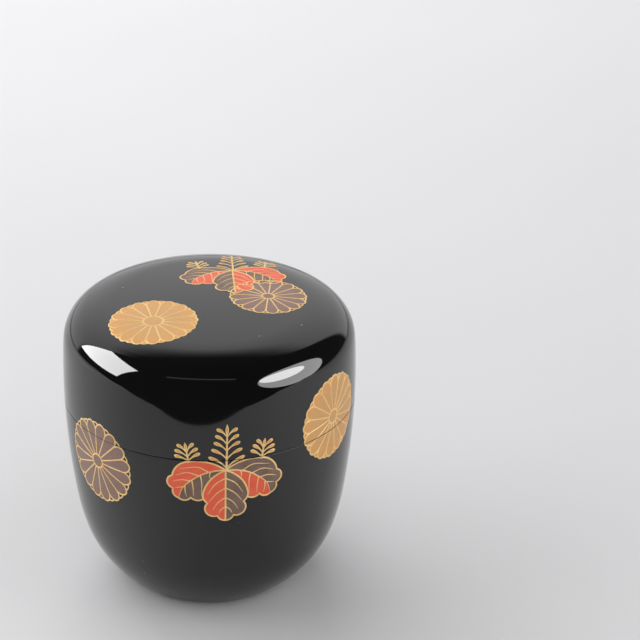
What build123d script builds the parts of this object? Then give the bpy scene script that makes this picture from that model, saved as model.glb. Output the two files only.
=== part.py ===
from build123d import *
from math import acos, atan2, cos, degrees, radians, sin
import os

# Lacquered tea caddy of the natsume form, millimetres.
# Origin: centre of the foot on the table. +Z up. The front paulownia spray faces -Y.
# An azimuth is counted from -Y towards +X. Heights are above the table.

# ---------------------------------------------------------------- driving dimensions
foot_radius = 19.0          # edge of the foot, where the outer curve leaves the table
foot_heading = 35.5         # steepness of the outer curve at the foot, degrees from level
outer_stretches = [         # radius of each tangent arc, and the heading at which it ends
    (27.0, 73.5),           # foot
    (55.0, 81.0),           # belly
    (181.0, 92.53),         # side, across the seam
    (25.0, 98.0),           # side easing into the shoulder
    (7.63, 160.0),          # shoulder
    (24.0, 176.0),          # shoulder easing into the domed crown
]
seam = 45.0                 # height of the joint between body and lid

outer_coat = 0.4            # lacquer and its ground on the outside
inner_coat = 0.3            # lacquer inside, on the ledge and on the lid's rim
seam_round = 0.2            # rounded edges that make the hairline at the seam

recess_radius = 16.9        # shallow hollow turned under the foot
recess_depth = 0.5
recess_slope = 0.5          # width of the sloping wall of that hollow

collar_radius = 30.8        # outside of the standing collar that the lid slides over
mouth_radius = 28.8         # inside of the collar and of the tea chamber
collar_top = 53.0
lip_round = 0.7             # rounding of the collar's two top edges
bowl_round = 18.5           # curve between the chamber's wall and its floor
chamber_floor = 4.2

lid_bore = 31.0             # inside of the lid's skirt: 0.2 clear of the collar all round
lid_wall_top = 58.6         # where the skirt turns into the ceiling
lid_inner_round = 6.0
dome_slope = 180.0 - outer_stretches[-1][1]

design_thickness = 0.12     # how far the gold and lacquer pictures stand proud
design_gap = 0.1            # each picture stops this far from the seam
far_out = 36.0              # beyond the widest point, for profiles that are trimmed later


# ---------------------------------------------------------------- outer curve
def inward(heading):
    """Unit normal into the caddy where the outer curve has this heading."""
    return Vector(-sin(radians(heading)), cos(radians(heading)))


def find_outer_arcs():
    """Chain the tangent arcs from the foot to the axis: centre, radius, first and last heading."""
    arcs = []
    point = Vector(foot_radius, 0)
    begin = foot_heading
    for radius, end in outer_stretches:
        centre = point + inward(begin) * radius
        arcs.append((centre, radius, begin, end))
        point = centre - inward(end) * radius
        begin = end
    dome_radius = point.X / sin(radians(dome_slope))
    dome_centre = point + inward(begin) * dome_radius
    arcs.append((dome_centre, dome_radius, begin, 180.0))
    return arcs


outer_arcs = find_outer_arcs()
side_centre, side_radius = outer_arcs[2][:2]
dome_centre, dome_radius = outer_arcs[-1][:2]
height = dome_centre.Y + dome_radius


def outside_radius(level):
    """Radius of the outer surface at a height on the side arc."""
    heading = acos((side_centre.Y - level) / side_radius)
    return side_centre.X + side_radius * sin(heading)


def draw_outer_curve(inset):
    """Draw the outer curve from foot to axis, moved into the caddy by inset."""
    for centre, radius, begin, end in outer_arcs:
        CenterArc((centre.X, centre.Y), radius - inset, begin - 90, end - begin)


def outer_foot_point(inset):
    return Vector(foot_radius, 0) + inward(foot_heading) * inset


def outer_crown_point(inset):
    return Vector(0, height - inset)


# ---------------------------------------------------------------- whole forms used for trimming
def make_envelope(inset):
    """Solid form inside the outer surface moved inwards by inset, standing on the foot."""
    with BuildPart() as envelope:
        with BuildSketch(Plane.XZ):
            with BuildLine():
                draw_outer_curve(inset)
                foot_point = outer_foot_point(inset)
                crown_point = outer_crown_point(inset)
                Line((foot_point.X, foot_point.Y), (0, foot_point.Y))
                Line((0, foot_point.Y), (0, crown_point.Y))
            make_face()
        revolve(axis=Axis.Z)
    return envelope.part


def make_outer_shell(outer_inset, inner_inset, bottom, top):
    """Shell between two insets of the outer surface, between two heights."""
    with BuildPart() as shell:
        with BuildSketch(Plane.XZ):
            with BuildLine():
                draw_outer_curve(outer_inset)
                draw_outer_curve(inner_inset)
                Line(outer_foot_point(outer_inset), outer_foot_point(inner_inset))
                Line(outer_crown_point(outer_inset), outer_crown_point(inner_inset))
            make_face()
        revolve(axis=Axis.Z)
        split(bisect_by=Plane.XY.offset(bottom), keep=Keep.TOP)
        if top < height:
            split(bisect_by=Plane.XY.offset(top), keep=Keep.BOTTOM)
    return shell.part


def make_edge_cutter(radius, level, outward, upward):
    """Ring that takes a sharp edge at this radius and height down to a small round.

    outward and upward are 1 or -1: the way out of the solid from the edge.
    """
    reach = seam_round * 2
    middle = (radius - outward * seam_round, level - upward * seam_round)
    with BuildPart() as cutter:
        with BuildSketch(Plane.XZ):
            with Locations((middle[0] + outward * reach / 2, middle[1] + upward * reach / 2)):
                Rectangle(reach, reach)
            with Locations(middle):
                Circle(seam_round, mode=Mode.SUBTRACT)
        revolve(axis=Axis.Z)
    return cutter.part


wood_form = make_envelope(outer_coat)
caddy_form = make_envelope(0)


# ---------------------------------------------------------------- inner curves
def draw_body_inner_curve(depth):
    """Ledge, collar and tea chamber, moved into the wood by depth."""
    collar_face = collar_radius - depth
    chamber_face = mouth_radius + depth
    bowl_centre = (mouth_radius - bowl_round, chamber_floor + bowl_round)
    round_level = collar_top - lip_round
    Line((far_out, seam - depth), (collar_face, seam - depth))
    Line((collar_face, seam - depth), (collar_face, round_level))
    CenterArc((collar_radius - lip_round, round_level), lip_round - depth, 0, 90)
    Line((collar_radius - lip_round, collar_top - depth), (mouth_radius + lip_round, collar_top - depth))
    CenterArc((mouth_radius + lip_round, round_level), lip_round - depth, 90, 90)
    Line((chamber_face, round_level), (chamber_face, bowl_centre[1]))
    CenterArc(bowl_centre, bowl_round + depth, -90, 90)
    Line((bowl_centre[0], chamber_floor - depth), (0, chamber_floor - depth))


def draw_lid_inner_curve(depth):
    """Rim, skirt and ceiling of the lid, moved into the wood by depth."""
    skirt_face = lid_bore + depth
    round_centre = Vector(lid_bore - lid_inner_round, lid_wall_top)
    to_dome = round_centre.X / sin(radians(dome_slope))
    ceiling_centre = round_centre.Y - to_dome * cos(radians(dome_slope))
    ceiling_radius = to_dome + lid_inner_round + depth
    Line((far_out, seam + depth), (skirt_face, seam + depth))
    Line((skirt_face, seam + depth), (skirt_face, lid_wall_top))
    CenterArc((round_centre.X, round_centre.Y), lid_inner_round + depth, 0, 90 - dome_slope)
    CenterArc((0, ceiling_centre), ceiling_radius, 90 - dome_slope, dome_slope)
    return ceiling_centre + ceiling_radius


def draw_underside(level):
    """Foot ring and shallow hollow, raised by level."""
    Polyline(
        (far_out, level),
        (recess_radius + recess_slope, level),
        (recess_radius, level + recess_depth),
        (0, level + recess_depth),
    )


# ---------------------------------------------------------------- body
with BuildPart() as body_core:
    with BuildSketch(Plane.XZ):
        with BuildLine():
            draw_body_inner_curve(inner_coat)
            draw_underside(outer_coat)
            Line((0, chamber_floor - inner_coat), (0, recess_depth + outer_coat))
            Line((far_out, outer_coat), (far_out, seam - inner_coat))
        make_face()
    revolve(axis=Axis.Z)
    add(wood_form, mode=Mode.INTERSECT)
body_core.part.label = "body_core"

with BuildPart() as body_inner_lacquer:
    with BuildSketch(Plane.XZ):
        with BuildLine():
            draw_body_inner_curve(0)
            draw_body_inner_curve(inner_coat)
            Line((0, chamber_floor), (0, chamber_floor - inner_coat))
            Line((far_out, seam), (far_out, seam - inner_coat))
        make_face()
    revolve(axis=Axis.Z)
    add(wood_form, mode=Mode.INTERSECT)
body_inner_lacquer.part.label = "body_inner_lacquer"

with BuildPart() as body_side_lacquer:
    add(make_outer_shell(0, outer_coat, outer_coat, seam))
    add(make_edge_cutter(outside_radius(seam), seam, 1, 1), mode=Mode.SUBTRACT)
body_side_lacquer.part.label = "body_side_lacquer"

with BuildPart() as base_lacquer:
    with BuildSketch(Plane.XZ):
        with BuildLine():
            draw_underside(0)
            draw_underside(outer_coat)
            Line((0, recess_depth), (0, recess_depth + outer_coat))
            Line((far_out, 0), (far_out, outer_coat))
        make_face()
    revolve(axis=Axis.Z)
    add(caddy_form, mode=Mode.INTERSECT)
base_lacquer.part.label = "base_lacquer"

# ---------------------------------------------------------------- lid
with BuildPart() as lid_core:
    with BuildSketch(Plane.XZ):
        with BuildLine():
            ceiling = draw_lid_inner_curve(inner_coat)
            Line((0, ceiling), (0, height))
            Line((0, height), (far_out, height))
            Line((far_out, height), (far_out, seam + inner_coat))
        make_face()
    revolve(axis=Axis.Z)
    add(wood_form, mode=Mode.INTERSECT)
lid_core.part.label = "lid_core"

with BuildPart() as lid_inner_lacquer:
    with BuildSketch(Plane.XZ):
        with BuildLine():
            ceiling = draw_lid_inner_curve(0)
            draw_lid_inner_curve(inner_coat)
            Line((0, ceiling), (0, ceiling + inner_coat))
            Line((far_out, seam), (far_out, seam + inner_coat))
        make_face()
    revolve(axis=Axis.Z)
    add(wood_form, mode=Mode.INTERSECT)
    add(make_edge_cutter(lid_bore, seam, -1, -1), mode=Mode.SUBTRACT)
lid_inner_lacquer.part.label = "lid_inner_lacquer"

with BuildPart() as lid_outer_lacquer:
    add(make_outer_shell(0, outer_coat, seam, height))
    add(make_edge_cutter(outside_radius(seam), seam, 1, -1), mode=Mode.SUBTRACT)
lid_outer_lacquer.part.label = "lid_outer_lacquer"

turned_pieces = [
    body_core,
    body_inner_lacquer,
    body_side_lacquer,
    base_lacquer,
    lid_core,
    lid_inner_lacquer,
    lid_outer_lacquer,
]

# ---------------------------------------------------------------- pictures on the lacquer
# Each picture is a thin plate that lies on the lacquer: its flat outline, pushed through a thin skin
# that lies on the outer surface of the body or of the lid.
skin_bottom = 10.0          # the skin starts above the foot, where there are no pictures
petal_count = 16
body_skin = make_outer_shell(-design_thickness, 0, skin_bottom, seam - design_gap)
lid_skin = make_outer_shell(-design_thickness, 0, seam + design_gap, height + design_thickness)

side_reach = 5.0            # how far inside the widest radius a side picture still meets the skin
stand_off = 1.0             # how far outside the surface an outline is drawn
crown_reach = 4.0


def side_plane(azimuth, level):
    """Upright plane just outside the caddy's side, its normal pointing out, its +Y up."""
    turn = radians(azimuth)
    outward = Vector(sin(turn), -cos(turn), 0)
    across = Vector(cos(turn), sin(turn), 0)
    origin = outward * (outside_radius(seam) + stand_off) + Vector(0, 0, level)
    return Plane(origin=origin, x_dir=across, z_dir=outward)


def crown_plane(x, y, turn):
    """Level plane just above the lid, its own +X turned by turn degrees."""
    across = Vector(cos(radians(turn)), sin(radians(turn)), 0)
    return Plane(origin=(x, y, height + stand_off), x_dir=across, z_dir=(0, 0, 1))


def make_chrysanthemum(radius):
    """Round outline with shallow scallops: front petals, and the tips of back petals between them."""
    petal_round = radius * 0.175
    front_ring = radius - petal_round
    back_ring = front_ring - radius * 0.02
    with BuildSketch() as outline:
        Circle(front_ring)
        with PolarLocations(front_ring, petal_count):
            Circle(petal_round)
        with PolarLocations(back_ring, petal_count, start_angle=180 / petal_count):
            Circle(petal_round)
    return outline.sketch


def make_leaf(arcs):
    """Leaf outline from the origin through arcs, each given by its middle and its end."""
    with BuildSketch() as leaf:
        with BuildLine():
            start = (0, 0)
            for middle, end in arcs:
                ThreePointArc(start, middle, end)
                start = end
            Line(start, (0, 0))
        make_face()
    return leaf.sketch


# Leaves of a paulownia spray, from the point where they meet. The side leaf bends down to its tip.
half_hanging_leaf = [
    ((3.3, -2.3), (4.9, -5.6)),
    ((4.9, -7.2), (4.0, -8.4)),
    ((4.1, -11.2), (1.8, -11.8)),
    ((1.2, -12.7), (0.0, -13.1)),
]
side_leaf = [
    ((3.5, 2.0), (7.4, 2.3)),
    ((10.6, 0.8), (11.7, -1.6)),
    ((12.9, -3.3), (11.6, -4.9)),
    ((11.6, -6.3), (10.4, -7.3)),
    ((9.0, -7.8), (7.7, -7.0)),
    ((6.3, -7.7), (4.8, -7.2)),
]


def make_paulownia_leaves():
    """Three leaves that hang from one point: one to each side and one down."""
    with BuildSketch() as leaves:
        add(make_leaf(half_hanging_leaf))
        add(make_leaf(side_leaf))
        mirror(about=Plane.YZ)
    return leaves.sketch


# Flower sprays: the middle of the stem's foot, its lean in degrees, its length, and the florets'
# (height of the foot on the stem, reach to the side, height of the tip) from bottom to top.
tall_spray = ((0.2, 0.0), -1.0, 10.6, [
    (0.8, 3.6, 3.7),
    (3.1, 3.0, 5.3),
    (5.0, 2.6, 6.9),
    (6.6, 2.2, 8.5),
    (8.2, 1.9, 10.0),
])
short_spray = ((8.0, 1.8), -9.0, 4.8, [
    (0.7, 2.6, 2.1),
    (1.5, 2.3, 3.3),
    (2.6, 1.7, 4.5),
])
stem_width = 0.5
floret_width = 0.9


def make_spray(spray):
    """Upright spray: a stem that ends in a floret, with pairs of florets along it."""
    foot, lean, length, florets = spray
    tip_rise = florets[-1][0]
    floret_lines = [((0, tip_rise), (0, length))]
    for rise, reach, tip in florets:
        floret_lines += [((0, rise), (side * reach, tip)) for side in (-1, 1)]
    with BuildSketch() as sketch:
        with Locations(Location((foot[0], foot[1], 0), (0, 0, lean))):
            Rectangle(stem_width, tip_rise + stem_width, align=(Align.CENTER, Align.MIN))
            for start, end in floret_lines:
                line = Vector(end) - Vector(start)
                direction = degrees(atan2(line.Y, line.X))
                middle = (Vector(end) + Vector(start)) / 2
                with Locations(Location((middle.X, middle.Y, 0), (0, 0, direction))):
                    Ellipse(line.length / 2, floret_width / 2)
    return sketch.sketch


def make_paulownia_flowers():
    """Three sprays: a tall one in the middle and a short one over each side leaf."""
    with BuildSketch() as flowers:
        add(make_spray(short_spray))
        mirror(about=Plane.YZ)
        add(make_spray(tall_spray))
    return flowers.sketch


leaves_outline = make_paulownia_leaves()
flowers_outline = make_paulownia_flowers()
design_pieces = []


def keep(piece, name):
    piece.part.label = name
    design_pieces.append(piece)


# Chrysanthemums on the side: name, azimuth, height of the middle, radius.
side_chrysanthemums = [
    ("right_chrysanthemum", 49.3, 48.2, 10.1),
    ("back_chrysanthemum", 178.0, 42.0, 10.1),
    ("left_chrysanthemum", -55.1, 38.8, 10.1),
]
for name, azimuth, level, radius in side_chrysanthemums:
    for half, skin in (("upper", lid_skin), ("lower", body_skin)):
        with BuildPart() as roundel:
            with BuildSketch(side_plane(azimuth, level)):
                add(make_chrysanthemum(radius))
            extrude(amount=-side_reach)
            add(skin, mode=Mode.INTERSECT)
        keep(roundel, f"{name}_{half}")

# Paulownia sprays on the side: name, azimuth, height of the point where the leaves meet.
side_paulownias = [
    ("front_paulownia", 0.0, 42.6),
    ("right_back_paulownia", 113.0, 42.6),
    ("left_back_paulownia", -118.0, 42.6),
]
for name, azimuth, level in side_paulownias:
    with BuildPart() as leaves:
        with BuildSketch(side_plane(azimuth, level)):
            add(leaves_outline)
        extrude(amount=-side_reach)
        add(body_skin, mode=Mode.INTERSECT)
    keep(leaves, f"{name}_leaves")
    for part_name, skin in (("flowers", lid_skin), ("stems", body_skin)):
        with BuildPart() as flowers:
            with BuildSketch(side_plane(azimuth, level)):
                add(flowers_outline)
            extrude(amount=-side_reach)
            add(skin, mode=Mode.INTERSECT)
            add(leaves.part, mode=Mode.SUBTRACT)
        keep(flowers, f"{name}_{part_name}")

# Pictures on the crown of the lid. The russet chrysanthemum lies over the paulownia leaves.
with BuildPart() as crown_gold_chrysanthemum:
    with BuildSketch(crown_plane(-13.3, -9.6, 0)):
        add(make_chrysanthemum(9.9))
    extrude(amount=-crown_reach)
    add(lid_skin, mode=Mode.INTERSECT)
keep(crown_gold_chrysanthemum, "crown_gold_chrysanthemum")

with BuildPart() as crown_russet_chrysanthemum:
    with BuildSketch(crown_plane(13.2, -0.3, 0)):
        add(make_chrysanthemum(8.8))
    extrude(amount=-crown_reach)
    add(lid_skin, mode=Mode.INTERSECT)
keep(crown_russet_chrysanthemum, "crown_russet_chrysanthemum")

crown_paulownia_size = 0.93
crown_paulownia_plane = crown_plane(6.7, 14.0, -3.0)
with BuildPart() as crown_paulownia_leaves:
    with BuildSketch(crown_paulownia_plane):
        add(scale(leaves_outline, by=crown_paulownia_size, mode=Mode.PRIVATE))
    extrude(amount=-crown_reach)
    add(lid_skin, mode=Mode.INTERSECT)
    add(crown_russet_chrysanthemum.part, mode=Mode.SUBTRACT)
keep(crown_paulownia_leaves, "crown_paulownia_leaves")

with BuildPart() as crown_paulownia_flowers:
    with BuildSketch(crown_paulownia_plane):
        add(scale(flowers_outline, by=crown_paulownia_size, mode=Mode.PRIVATE))
    extrude(amount=-crown_reach)
    add(lid_skin, mode=Mode.INTERSECT)
    add(crown_russet_chrysanthemum.part, mode=Mode.SUBTRACT)
    add(crown_paulownia_leaves.part, mode=Mode.SUBTRACT)
keep(crown_paulownia_flowers, "crown_paulownia_flowers")

# ---------------------------------------------------------------- files
os.makedirs("parts", exist_ok=True)
for piece in turned_pieces + design_pieces:
    export_step(piece.part, f"parts/{piece.part.label}.step")
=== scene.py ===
import math

import bmesh
import bpy
from mathutils import Matrix, Vector


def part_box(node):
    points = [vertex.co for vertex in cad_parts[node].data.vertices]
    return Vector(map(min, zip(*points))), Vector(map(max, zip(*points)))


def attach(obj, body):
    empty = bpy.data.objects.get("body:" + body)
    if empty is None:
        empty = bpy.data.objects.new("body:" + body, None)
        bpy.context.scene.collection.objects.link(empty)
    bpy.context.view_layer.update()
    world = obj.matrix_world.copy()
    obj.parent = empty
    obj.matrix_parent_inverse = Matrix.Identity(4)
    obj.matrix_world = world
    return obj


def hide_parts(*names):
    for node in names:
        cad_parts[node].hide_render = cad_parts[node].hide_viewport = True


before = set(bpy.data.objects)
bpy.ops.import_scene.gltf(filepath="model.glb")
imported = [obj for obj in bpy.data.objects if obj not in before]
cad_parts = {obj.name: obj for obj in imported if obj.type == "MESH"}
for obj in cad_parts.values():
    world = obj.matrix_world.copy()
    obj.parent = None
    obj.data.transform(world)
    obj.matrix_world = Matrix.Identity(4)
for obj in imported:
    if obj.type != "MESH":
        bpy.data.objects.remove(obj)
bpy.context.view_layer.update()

# A lacquered tea caddy of the natsume form. Shapes are worked out in millimetres and made in metres.
# Azimuths are counted in degrees from -Y towards +X. A run is a length along the outer curve, from
# the edge of the foot up the side and over the shoulder to the middle of the crown.
MM = 0.001


def level_of(node, corner):
    """Height of a CAD node's lowest (0) or highest (1) corner, in millimetres."""
    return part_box(node)[corner].z / MM


# ---------------------------------------------------------------- turned form
FOOT_RADIUS = 19.0
FOOT_HEADING = 35.5
STRETCHES = (               # radius and last heading of each tangent arc
    (27.0, 73.5),
    (55.0, 81.0),
    (181.0, 92.53),
    (25.0, 98.0),
    (7.63, 160.0),
    (24.0, 176.0),
)
DOME_SLOPE = 180.0 - STRETCHES[-1][1]
OUTER_COAT = 0.4
INNER_COAT = 0.3
EDGE_ROUND = 0.2
SEAM_ROUND = 0.04           # round on the two outer edges that meet at the seam
SEAM_GAP = 0.12             # height of the fine groove under the lid's outer edge
SEAM_DEPTH = 0.25           # how far in the groove goes
SEAM_STEPS = 4
SEAM = level_of("lid_outer_lacquer", 0)
COLLAR_TOP = level_of("body_inner_lacquer", 1)
RECESS_RADIUS = 16.9
RECESS_DEPTH = 0.5
RECESS_SLOPE = 0.5
COLLAR_RADIUS = 30.8
MOUTH_RADIUS = 28.8
LIP_ROUND = 0.7
BOWL_ROUND = 18.5
CHAMBER_FLOOR = 4.2
LID_BORE = 31.0
LID_WALL_TOP = 58.6
LID_INNER_ROUND = 6.0
TURN_STEPS = 256
BOWL_STEPS = 40
SKIRT_STEPS = 40
DOME_STEPS = 30
MAX_STEP = 0.9              # longest step along a turned profile
MAX_TURN = 2.0              # largest change of heading in one step, degrees
SAME_PLACE = 1e-4           # points closer together than this are one point


def inward(heading):
    """Unit normal (radius, height) into the caddy where the outer curve has this heading."""
    return Vector((-math.sin(heading), math.cos(heading)))


def chain_outer_arcs():
    """The outer curve's tangent arcs: centre, radius, first and last heading, run at the start."""
    arcs = []
    point = Vector((FOOT_RADIUS, 0))
    begin = math.radians(FOOT_HEADING)
    run = 0.0
    for radius, last in STRETCHES:
        end = math.radians(last)
        centre = point + inward(begin) * radius
        arcs.append((centre, radius, begin, end, run))
        point = centre - inward(end) * radius
        run += radius * (end - begin)
        begin = end
    dome_radius = point.x / math.sin(math.radians(DOME_SLOPE))
    arcs.append((point + inward(begin) * dome_radius, dome_radius, begin, math.pi, run))
    return arcs


OUTER_ARCS = chain_outer_arcs()
FULL_RUN = OUTER_ARCS[-1][4] + OUTER_ARCS[-1][1] * math.radians(DOME_SLOPE)
SIDE_RADIUS = 33.0


def outer_place(run, lift=0.0):
    """Radius and height of the outer curve at a run, moved outwards by lift."""
    for centre, radius, begin, end, start in OUTER_ARCS:
        heading = begin + (run - start) / radius
        if heading <= end:
            break
    return centre - inward(heading) * (radius + lift)


def run_at_height(height):
    """Run at which the outer curve's foot, belly or side reaches a height."""
    for centre, radius, begin, end, start in OUTER_ARCS:
        if height <= (centre - inward(end) * radius).y:
            break
    heading = math.acos((centre.y - height) / radius)
    return start + radius * (heading - begin)


def run_at_crown_radius(distance):
    """Run at which the crown, or the shoulder just outside it, is this far from the axis."""
    for centre, radius, begin, _, start in reversed(OUTER_ARCS):
        if distance <= (centre - inward(begin) * radius).x:
            break
    heading = math.pi - math.asin((distance - centre.x) / radius)
    return start + radius * (heading - begin)


def outer_points(first, last, lift=0.0):
    """Points of the outer curve between two runs, closer together where it turns fast."""
    points = []
    for _, radius, begin, end, start in OUTER_ARCS:
        low = max(first, start)
        high = min(last, start + radius * (end - begin))
        if high - low < SAME_PLACE / 100:
            continue
        turn = math.degrees((high - low) / radius)
        steps = math.ceil(max((high - low) / MAX_STEP, turn / MAX_TURN))
        points += [outer_place(low + (high - low) * i / steps, lift) for i in range(steps)]
    return points + [outer_place(last, lift)]


def arc_points(centre, radius, first, last, steps=10):
    """Points on an arc of a profile; angles in degrees from +radius."""
    turns = [math.radians(first + (last - first) * i / steps) for i in range(steps + 1)]
    return [Vector((centre[0] + radius * math.cos(t), centre[1] + radius * math.sin(t))) for t in turns]


def line_points(start, end):
    """Points on a straight part of a profile."""
    start, end = Vector(start), Vector(end)
    steps = math.ceil((end - start).length / MAX_STEP)
    return [start.lerp(end, i / steps) for i in range(steps + 1)]


def turn_profile(points, closed):
    """Spin a profile about the axis. An open profile starts and ends on the axis."""
    bm = bmesh.new()
    verts = [bm.verts.new((p[0] * MM, 0, p[1] * MM)) for p in points]
    edges = [bm.edges.new(pair) for pair in zip(verts, verts[1:])]
    if closed:
        edges.append(bm.edges.new((verts[-1], verts[0])))
    bmesh.ops.spin(bm, geom=verts + edges, cent=(0, 0, 0), axis=(0, 0, 1), dvec=(0, 0, 0),
                   angle=math.tau, steps=TURN_STEPS, use_merge=True)
    bmesh.ops.remove_doubles(bm, verts=bm.verts, dist=MM * SAME_PLACE)
    bmesh.ops.recalc_face_normals(bm, faces=bm.faces)
    half_step = Matrix.Rotation(math.pi / TURN_STEPS, 3, "Z")
    bmesh.ops.rotate(bm, matrix=half_step, verts=bm.verts)
    return bm


def without_repeats(points):
    """Drop points that repeat the one before."""
    kept = [points[0]]
    for point in points[1:]:
        if (Vector(point) - Vector(kept[-1])).length > SAME_PLACE:
            kept.append(point)
    return kept


def side_coat_profile():
    """Closed profile of the body's outer coat, from the foot's edge up to the seam."""
    low = run_at_height(OUTER_COAT)
    top = run_at_height(SEAM - SEAM_ROUND)
    corner = outer_place(top) + Vector((-SEAM_ROUND, 0))
    outside = outer_points(low, top)
    inside = outer_points(low, run_at_height(SEAM), -OUTER_COAT)
    inside[0].y = OUTER_COAT
    return outside + arc_points(corner, SEAM_ROUND, 0, 90, SEAM_STEPS) + inside[::-1]


def lid_coat_profile():
    """Profile of the lid's outer coat, from the axis inside it, round the seam's edge, to the axis."""
    low = run_at_height(SEAM + SEAM_GAP + SEAM_ROUND)
    corner = outer_place(low) + Vector((-SEAM_ROUND, 0))
    groove = outer_place(run_at_height(SEAM)).x - SEAM_DEPTH
    inside = outer_points(run_at_height(SEAM), FULL_RUN, -OUTER_COAT)
    step = [Vector((groove, SEAM)), Vector((groove, SEAM + SEAM_GAP))]
    edge = arc_points(corner, SEAM_ROUND, -90, 0, SEAM_STEPS)
    return inside[::-1] + step + edge + outer_points(low, FULL_RUN)


def base_coat_profile():
    """Profile of the base's coat: the foot ring and the shallow recess inside it."""
    top = run_at_height(OUTER_COAT)
    edge = RECESS_RADIUS + RECESS_SLOPE
    recess_top = RECESS_DEPTH + OUTER_COAT
    upper = [(0, recess_top), (RECESS_RADIUS, recess_top), (edge, OUTER_COAT)]
    lower = [(edge, 0), (RECESS_RADIUS, RECESS_DEPTH), (0, RECESS_DEPTH)]
    return upper + outer_points(0, top)[::-1] + lower


def body_inner_curve(depth):
    """Ledge, collar and tea chamber, moved into the wood by depth, from the ledge to the axis."""
    lip_level = COLLAR_TOP - LIP_ROUND
    bowl = (MOUTH_RADIUS - BOWL_ROUND, CHAMBER_FLOOR + BOWL_ROUND)
    ledge_edge = outer_place(run_at_height(SEAM), -OUTER_COAT).x
    points = line_points((ledge_edge, SEAM - depth), (COLLAR_RADIUS - depth, SEAM - depth))
    points += line_points((COLLAR_RADIUS - depth, SEAM - depth), (COLLAR_RADIUS - depth, lip_level))
    points += arc_points((COLLAR_RADIUS - LIP_ROUND, lip_level), LIP_ROUND - depth, 0, 90)
    points += arc_points((MOUTH_RADIUS + LIP_ROUND, lip_level), LIP_ROUND - depth, 90, 180)
    points += line_points((MOUTH_RADIUS + depth, lip_level), (MOUTH_RADIUS + depth, bowl[1]))
    points += arc_points(bowl, BOWL_ROUND + depth, 0, -90, BOWL_STEPS)
    points += line_points((bowl[0], CHAMBER_FLOOR - depth), (0, CHAMBER_FLOOR - depth))
    return points


def lid_inner_curve(depth):
    """Rim, skirt and ceiling of the lid, moved into the wood by depth, from the rim to the axis."""
    slope = math.radians(DOME_SLOPE)
    middle = LID_BORE - LID_INNER_ROUND
    to_dome = middle / math.sin(slope)
    dome_middle = (0, LID_WALL_TOP - to_dome * math.cos(slope))
    rim_edge = outer_place(run_at_height(SEAM), -OUTER_COAT).x
    rim_round = EDGE_ROUND if depth == 0 else 0.0
    corner = (LID_BORE + depth + rim_round, SEAM + depth + rim_round)
    points = line_points((rim_edge, SEAM + depth), (corner[0], SEAM + depth))
    if rim_round:
        points += arc_points(corner, rim_round, 270, 180)
    points += line_points((LID_BORE + depth, corner[1]), (LID_BORE + depth, LID_WALL_TOP))
    skirt_end = 90 - DOME_SLOPE
    points += arc_points((middle, LID_WALL_TOP), LID_INNER_ROUND + depth, 0, skirt_end, SKIRT_STEPS)
    points += arc_points(dome_middle, to_dome + LID_INNER_ROUND + depth, skirt_end, 90, DOME_STEPS)
    return points


def skin_profile(curve):
    """Profile of a coat between the lacquered surface and the wood under it, axis to axis."""
    return curve(INNER_COAT)[::-1] + curve(0.0)


# ---------------------------------------------------------------- materials
def rgb(red, green, blue):
    """Display colour, 0 to 255, as linear light."""
    return tuple((c / 255 / 12.92) if c <= 10 else ((c / 255 + 0.055) / 1.055) ** 2.4
                 for c in (red, green, blue)) + (1.0,)


class NodeWork:
    """A node tree under construction."""

    def __init__(self, tree):
        self.nodes = tree.nodes
        self.links = tree.links

    def node(self, kind, links=(), **settings):
        """Add a node; links pairs input names with outputs, settings are properties or input values."""
        made = self.nodes.new(kind)
        for name, value in settings.items():
            if hasattr(made, name):
                setattr(made, name, value)
            else:
                made.inputs[name].default_value = value
        for name, output in links:
            self.links.new(output, made.inputs[name])
        return made

    def remap(self, value, low, high, to_low=0.0, to_high=1.0, curve="LINEAR"):
        """Stretch the outputs between low and high to another range, and clamp the rest."""
        made = self.node("ShaderNodeMapRange", [("Value", value)], interpolation_type=curve)
        for name, number in (("From Min", low), ("From Max", high), ("To Min", to_low), ("To Max", to_high)):
            made.inputs[name].default_value = number
        return made.outputs["Result"]

    def blend(self, factor, first, second):
        """Mix two colours, each a colour or an output, by a factor output."""
        made = self.node("ShaderNodeMix", data_type="RGBA")
        self.links.new(factor, made.inputs[0])
        for socket, colour in ((made.inputs[6], first), (made.inputs[7], second)):
            if isinstance(colour, tuple):
                socket.default_value = colour
            else:
                self.links.new(colour, socket)
        return made.outputs[2]

    def math(self, operation, first, second=None):
        made = self.node("ShaderNodeMath", operation=operation)
        for socket, value in zip(made.inputs, (first, second)):
            if isinstance(value, (int, float)):
                socket.default_value = value
            elif value is not None:
                self.links.new(value, socket)
        return made.outputs[0]


class Finish(NodeWork):
    """A material under construction, with its shader and its Object coordinates."""

    def __init__(self, name, **values):
        self.material = bpy.data.materials.new(name)
        self.material.use_nodes = True
        super().__init__(self.material.node_tree)
        self.shader = self.nodes["Principled BSDF"]
        self.place = self.nodes.new("ShaderNodeTexCoord").outputs["Object"]
        for label, value in values.items():
            self.shader.inputs[label].default_value = value

    def noise(self, scale, detail=2.0, roughness=0.5):
        """Output of a noise pattern that is fixed to the piece."""
        return self.node("ShaderNodeTexNoise", [("Vector", self.place)],
                         Scale=scale, Detail=detail, Roughness=roughness).outputs["Fac"]

    def colour(self, output):
        self.links.new(output, self.shader.inputs["Base Color"])

    def roughness(self, output):
        self.links.new(output, self.shader.inputs["Roughness"])

    def bump(self, height, strength, distance):
        made = self.node("ShaderNodeBump", [("Height", height)], Strength=strength, Distance=distance)
        self.links.new(made.outputs["Normal"], self.shader.inputs["Normal"])


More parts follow.
